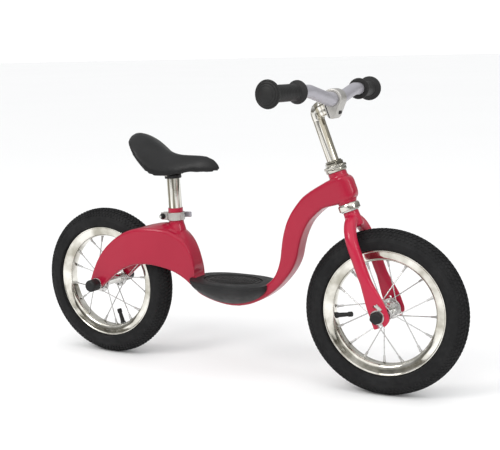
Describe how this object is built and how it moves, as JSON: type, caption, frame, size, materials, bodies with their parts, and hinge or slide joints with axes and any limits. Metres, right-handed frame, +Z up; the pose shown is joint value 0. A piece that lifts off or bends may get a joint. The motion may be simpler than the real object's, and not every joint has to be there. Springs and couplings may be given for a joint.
{
  "type": "balance bike",
  "caption": "Child's balance bike with a dropped frame and footrest, quick-release saddle, quill stem, spoked wheels and no pedals.",
  "frame": {"origin": "on the ground under the middle of the bike's length, in its centre plane", "axes": "+X forward, +Y to the rider's left, +Z up"},
  "size_m": [0.8908, 0.4743, 0.5554],
  "materials": {
    "red_paint": "gloss crimson paint",
    "chrome": "bright plated",
    "satin_alloy": "satin silver",
    "zinc_steel": "zinc plated",
    "black_plastic": "satin black",
    "black_rubber": "matt black",
    "tyre_rubber": "matt black",
    "saddle_vinyl": "smooth black vinyl over foam"
  },
  "bodies": {
    "frame": {"main_beam": "red_paint", "head_tube": "red_paint", "seat_tube": "red_paint", "rear_arm_right": "red_paint", "rear_arm_left": "red_paint", "footrest_base": "black_plastic", "footrest_pad": "black_rubber", "footrest_screw_front": "zinc_steel", "footrest_screw_rear": "zinc_steel", "headset_upper_cup": "chrome", "headset_lower_cup": "chrome", "seat_clamp_band": "zinc_steel", "seat_clamp_skewer": "zinc_steel", "seat_clamp_nut": "black_plastic", "rear_axle": "zinc_steel", "rear_washer_right": "zinc_steel", "rear_washer_left": "zinc_steel", "rear_nut_right": "zinc_steel", "rear_nut_left": "zinc_steel", "rear_cap_right": "black_plastic", "rear_cap_left": "black_plastic"},
    "clamp_lever": {"seat_clamp_lever": "zinc_steel"},
    "seatpost": {"seatpost": "chrome", "saddle_clamp": "black_plastic"},
    "saddle": {"saddle_cover": "saddle_vinyl", "saddle_base": "black_plastic", "saddle_rails": "chrome", "saddle_bolt": "zinc_steel"},
    "fork": {"fork": "red_paint", "headset_top_race": "chrome", "headset_locknut": "chrome", "headset_crown_race": "zinc_steel", "headset_upper_bearing": "zinc_steel", "headset_lower_bearing": "zinc_steel", "front_axle": "zinc_steel", "front_washer_right": "zinc_steel", "front_washer_left": "zinc_steel", "front_nut_right": "zinc_steel", "front_nut_left": "zinc_steel", "front_cap_right": "black_plastic", "front_cap_left": "black_plastic"},
    "stem": {"stem": "chrome", "stem_expander_bolt": "zinc_steel", "stem_wedge": "zinc_steel", "stem_clamp_bolt": "zinc_steel"},
    "bars": {"handlebar": "satin_alloy", "grip_right": "black_rubber", "grip_left": "black_rubber"},
    "rear_wheel": {"rear_hub": "chrome", "rear_rim": "chrome", "rear_tyre": "tyre_rubber", "rear_valve": "black_rubber", "rear_spokes_right": "chrome", "rear_spokes_left": "chrome"},
    "front_wheel": {"front_hub": "chrome", "front_rim": "chrome", "front_tyre": "tyre_rubber", "front_valve": "black_rubber", "front_spokes_right": "chrome", "front_spokes_left": "chrome"}
  },
  "joints": [
    {"name": "rear_wheel_spin", "type": "hinge", "parent": "frame", "child": "rear_wheel", "pos_m": [-0.2995, 0, 0.147], "axis": [0, 1, 0], "continuous": true},
    {"name": "steering", "type": "hinge", "parent": "frame", "child": "fork", "pos_m": [0.2979, 0, 0.147], "axis": [-0.3571, 0, 0.9341], "range_deg": [-95.5, 84.5]},
    {"name": "front_wheel_spin", "type": "hinge", "parent": "fork", "child": "front_wheel", "pos_m": [0.2979, 0, 0.147], "axis": [-0.0902, 0.9953, -0.0345], "continuous": true},
    {"name": "stem_height", "type": "slide", "parent": "fork", "child": "stem", "axis": [-0.3571, 0, 0.9341], "range_m": [-0.01, 0.03]},
    {"name": "bar_tilt", "type": "hinge", "parent": "stem", "child": "bars", "pos_m": [0.20086, 0.00254, 0.51405], "axis": [-0.0587, 0.998, -0.0224], "range_deg": [-30, 30]},
    {"name": "seatpost_height", "type": "slide", "parent": "frame", "child": "seatpost", "axis": [-0.0543, 0, 0.9985], "range_m": [-0.045, 0.025]},
    {"name": "saddle_tilt", "type": "hinge", "parent": "seatpost", "child": "saddle", "pos_m": [-0.13929, 0, 0.37335], "axis": [0, 1, 0], "range_deg": [-10, 10]},
    {"name": "clamp_lever_swing", "type": "hinge", "parent": "frame", "child": "clamp_lever", "pos_m": [-0.16084, 0.0195, 0.28695], "axis": [-0.0543, 0, 0.9985], "range_deg": [0, 150]}
  ]
}
